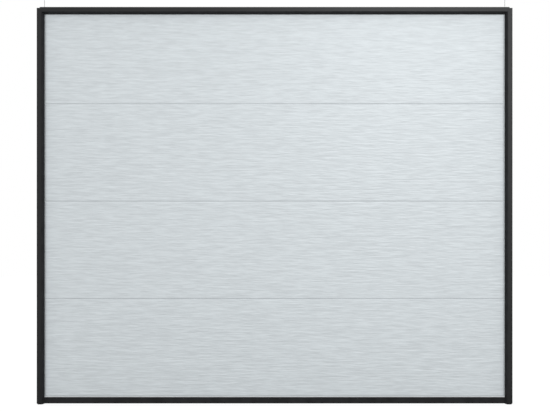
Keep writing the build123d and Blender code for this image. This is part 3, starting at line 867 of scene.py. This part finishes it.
def make_bearings():
    """Three bearings in one piece: two rings and the balls between them, three times."""
    axis, shaft_radius = shaft_line()
    bore = shaft_radius + shaft_play
    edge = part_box("shaft_bearings")[1].x
    places = [
        (edge - bearing_width, edge, end_bearing_radius),
        (-edge, bearing_width - edge, end_bearing_radius),
        (-middle_bearing_half, middle_bearing_half, middle_bearing_radius),
    ]
    bm = bmesh.new()
    for x_low, x_high, outer in places:
        middle = (bore + outer) / 2
        race(bm, axis, x_low, x_high, bore, middle - ball_lane_half)
        race(bm, axis, x_low, x_high, middle + ball_lane_half, outer)
        for turn in range(ball_count):
            angle = turn * 2 * math.pi / ball_count
            spot = Vector(((x_low + x_high) / 2, axis.y + middle * math.cos(angle),
                           axis.z + middle * math.sin(angle)))
            bmesh.ops.create_icosphere(bm, subdivisions=2, radius=ball_radius,
                                       matrix=Matrix.Translation(spot))
    piece = keep(bm, "ball_bearings", "bright_steel")
    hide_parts("shaft_bearings")


make_bearings()

# %% [markdown]
# Small fasteners hold all this together. A screw is placed by casting a ray at the
# part that it holds: where the ray meets a flat face square on, the screw's head
# sits there, and nowhere else. A ray that meets no flat face makes no screw.

# %% Helper for seats
bpy.context.view_layer.update()
flatness = 0.99


def seat(node, start, direction):
    """Where a ray first meets a node, if the face there looks back along the ray."""
    aim = Vector(direction)
    hit, point, normal, _ = nodes[node].ray_cast(Vector(start), aim)
    if hit and normal.dot(-aim) > flatness:
        return point
    return None


def facing(direction):
    """A turn that takes +Z to a direction."""
    return Vector(direction).to_track_quat("Z", "Y").to_matrix().to_4x4()


print("a seat may tilt by", round(math.degrees(math.acos(flatness)), 1), "degrees")

# %% [markdown]
# Three kinds of head are enough: a hexagon head on a washer for plates and anchors,
# a low round head for the inside of the tracks, where there is little room, and a
# square head for the set screws of drums and plugs. Each is a stack of one to three
# short cylinders and cones, so that close on two hundred of them stay light.

# %% Helpers for heads
washer_rise = 0.0009
washer_ratio = 1.45
hex_share = 0.72
hex_top_ratio = 0.8
button_shoulder = 0.93
button_top = 0.55


def cylinder(bm, frame_of, low, high, radius, top_radius=None, sides=20):
    """A disc or cone from low to high along the screw's own axis."""
    place = frame_of @ Matrix.Translation((0, 0, (low + high) / 2))
    bmesh.ops.create_cone(bm, cap_ends=True, segments=sides, radius1=radius,
                          radius2=top_radius or radius, depth=high - low, matrix=place)


def hex_head(bm, point, outward, flats, rise):
    """A hexagon head with a chamfered top on a round washer."""
    at = Matrix.Translation(point) @ facing(outward)
    corner = flats / math.sqrt(3)
    chamfer = washer_rise + rise * hex_share
    cylinder(bm, at, 0, washer_rise, corner * washer_ratio)
    cylinder(bm, at, washer_rise, chamfer, corner, sides=6)
    cylinder(bm, at, chamfer, washer_rise + rise, corner, corner * hex_top_ratio, sides=6)


def round_head(bm, point, outward, radius=0.0065, rise=0.0024):
    """A low button head, domed in two steps."""
    at = Matrix.Translation(point) @ facing(outward)
    shoulder = radius * button_shoulder
    cylinder(bm, at, 0, rise / 2, radius, shoulder)
    cylinder(bm, at, rise / 2, rise, shoulder, radius * button_top)


def square_head(bm, point, outward, side=0.007, rise=0.006):
    """A square block, as wide as a fitter's key."""
    at = Matrix.Translation(point) @ facing(outward)
    cylinder(bm, at, 0, rise, side / math.sqrt(2), sides=4)


# %% [markdown]
# Each hinge leaf is held by four self-drilling screws. They could be four copies of
# one screw, but a ray for each shows at once if a leaf has moved or is missing: then
# the count that is printed falls.

# %% Hinge screws
first_seam = 0.533
seam_pitch = 0.5
seams = [first_seam + seam_pitch * i for i in range(section_count - 1)]
leaf_middle = 0.037
leaf_half_x = 0.019
leaf_half_z = 0.014
centre_hinge_x = 0.395
screw_flats = 0.008
screw_rise = 0.0042
from_inside = (0, -1, 0)
clear_back = 0.5


def screw_grid(bm, node, middle_x, middle_z, half_x, half_z):
    """Screws at the four corners of a small rectangle, where the plate is flat."""
    made = 0
    for dx in (-half_x, half_x):
        for dz in (-half_z, half_z):
            point = seat(node, (middle_x + dx, clear_back, middle_z + dz), from_inside)
            if point is not None:
                hex_head(bm, point, (0, 1, 0), flats=screw_flats, rise=screw_rise)
                made += 1
    return made


def make_hinge_screws():
    bm = bmesh.new()
    made = 0
    for seam in seams:
        for leaf in (-leaf_middle, leaf_middle):
            level = height(seam + leaf)
            for side in ("left", "right"):
                node = f"side_hinges_{side}"
                middle = (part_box(node)[0].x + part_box(node)[1].x) / 2
                made += screw_grid(bm, node, middle, level, leaf_half_x, leaf_half_z)
            for x in (-centre_hinge_x, centre_hinge_x):
                made += screw_grid(bm, "centre_hinges", x, level, leaf_half_x, leaf_half_z)
    print("hinge screws", made)
    keep(bm, "hinge_screws", "bright_steel", smooth=False)


make_hinge_screws()

# %% [markdown]
# Each corner bracket is held by the same screws, up to eight of them in two groups
# of four. The hinge screws' helper makes these as well, and leaves a screw out where
# its ray meets no flat face.

# %% Corner bracket screws
bracket_rows = {"bottom_brackets": (0.085, 0.13), "top_brackets": (1.86, 1.96)}
bracket_half_x = 0.02
bracket_half_z = 0.012


def make_bracket_screws():
    bm = bmesh.new()
    made = 0
    low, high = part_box("side_hinges_right")
    middle = (low.x + high.x) / 2
    for node, levels in bracket_rows.items():
        for side in (-1, 1):
            for level in levels:
                made += screw_grid(bm, node, side * middle, height(level), bracket_half_x, bracket_half_z)
    print("bracket screws", made)
    keep(bm, "corner_bracket_screws", "bright_steel", smooth=False)


make_bracket_screws()

# %% [markdown]
# Track bolts have low round heads inside the track. The door stays closed here, and
# no wheel stands at a bolt; for a curtain that moves they would have to be flush.
# Only the heads are made, and the side of the nuts is left plain.

# %% Track bolts
bracket_levels = [0.325, 0.875, 1.425, 1.72]
bolt_half_pitch = 0.012
level_bolts_y = [0.44, 0.50, 1.1, 1.7, 2.3, 2.41]
level_track_height = 2.07
track_middle_y = 0.092
inside_track_x = 1.197


def track_bolt(bm, node, sign, y, z):
    """A low head on the web of a track, where that is flat. Says how many it made."""
    point = seat(node, (sign * inside_track_x, y, z), (sign, 0, 0))
    if point is None:
        return 0
    round_head(bm, point, (-sign, 0, 0))
    return 1


def make_track_bolts():
    bm = bmesh.new()
    made = 0
    for side, sign in (("left", -1), ("right", 1)):
        for level in bracket_levels:
            for dz in (-bolt_half_pitch, bolt_half_pitch):
                z = height(level + dz)
                made += track_bolt(bm, f"vertical_track_{side}", sign, track_middle_y, z)
        for y in level_bolts_y:
            made += track_bolt(bm, f"horizontal_track_{side}", sign, y, height(level_track_height))
    print("track bolts", made)
    keep(bm, "track_bolts", "bright_steel")


make_track_bolts()

# %% [markdown]
# An anchor's head covers a hole of the solid model, where a ray would fly through.
# So its seat is looked for beside the hole, and the head is set over the hole at
# that depth. Typed depths would do as well until a plate gets thicker.

# %% Helper for anchors


def anchor(bm, node, over, beside, direction, flats):
    """An anchor head over a hole, at the depth of the face beside it."""
    ray = Vector(direction)
    point = seat(node, Vector(over) + Vector(beside), direction)
    if point is None:
        return 0
    depth = ray.dot(point - Vector(over))
    hex_head(bm, Vector(over) + ray * depth, -ray, flats=flats, rise=flats / 2)
    return 1


# %% [markdown]
# Anchors hold the posts to the sides of the opening, the feet to the floor, and
# the bearing plates and centre bracket to the wall.

# %% Anchors
anchor_levels = [0.2, 0.76, 1.32, 1.88]
anchor_setback = 0.038
post_anchor_x = 1.19
post_anchor_flats = 0.012
foot_x = 1.2
foot_hole_half = 0.014
foot_start = 0.03
foot_anchor_flats = 0.01
shaft_level = 2.19
wall_plate_x = 1.1835
wall_hole_half = 0.06
centre_hole_half_x = 0.022
centre_hole_half_z = 0.055
wall_anchor_flats = 0.013
plate_start_y = 0.06
centre_start_y = 0.09
beside_post = (0, 0, 0.01)
beside_foot = (0, 0.0065, 0)
beside_wall = (0, 0, 0.009)


def make_anchors():
    bm = bmesh.new()
    made = 0
    for side, sign in (("left", -1), ("right", 1)):
        for level in anchor_levels:
            over = (sign * post_anchor_x, anchor_setback, height(level))
            made += anchor(bm, f"post_{side}", over, beside_post, (sign, 0, 0), post_anchor_flats)
        for dy in (-foot_hole_half, foot_hole_half):
            over = (sign * foot_x, track_middle_y + dy, height(foot_start))
            made += anchor(bm, "floor_brackets", over, beside_foot, (0, 0, -1), foot_anchor_flats)
        for dz in (-wall_hole_half, wall_hole_half):
            over = (sign * wall_plate_x, plate_start_y, height(shaft_level + dz))
            made += anchor(bm, "bearing_plates", over, beside_wall, from_inside, wall_anchor_flats)
    for dx in (-centre_hole_half_x, centre_hole_half_x):
        for dz in (-centre_hole_half_z, centre_hole_half_z):
            over = (dx, centre_start_y, height(shaft_level + dz))
            made += anchor(bm, "centre_bracket", over, beside_wall, from_inside, wall_anchor_flats)
    print("anchors", made)
    keep(bm, "anchor_heads", "bright_steel", smooth=False)


make_anchors()

# %% [markdown]
# Set screws clamp the drums and the winding plugs to the shaft, two each, a quarter
# turn apart, with the square heads that a fitter's key takes. Their hubs are round,
# so each ray goes straight at the shaft, and any face that it meets will do.

# %% Set screws
collar_places = {"spring_plugs": 0.607, "cable_drums": 1.1445}
screw_turns = (45, 135)
screw_reach = 0.2
screw_bed = 0.0004


def make_set_screws():
    bm = bmesh.new()
    made = 0
    axis, _ = shaft_line()
    for node, x in collar_places.items():
        for sign in (-1, 1):
            for degrees in screw_turns:
                angle = math.radians(degrees)
                outward = Vector((0, math.cos(angle), math.sin(angle)))
                middle = Vector((sign * x, axis.y, axis.z))
                hit, point, _, _ = nodes[node].ray_cast(middle + outward * screw_reach, -outward)
                if hit:
                    square_head(bm, point - outward * screw_bed, outward)
                    made += 1
    print("set screws", made)
    keep(bm, "set_screws", "bright_steel", smooth=False)


make_set_screws()
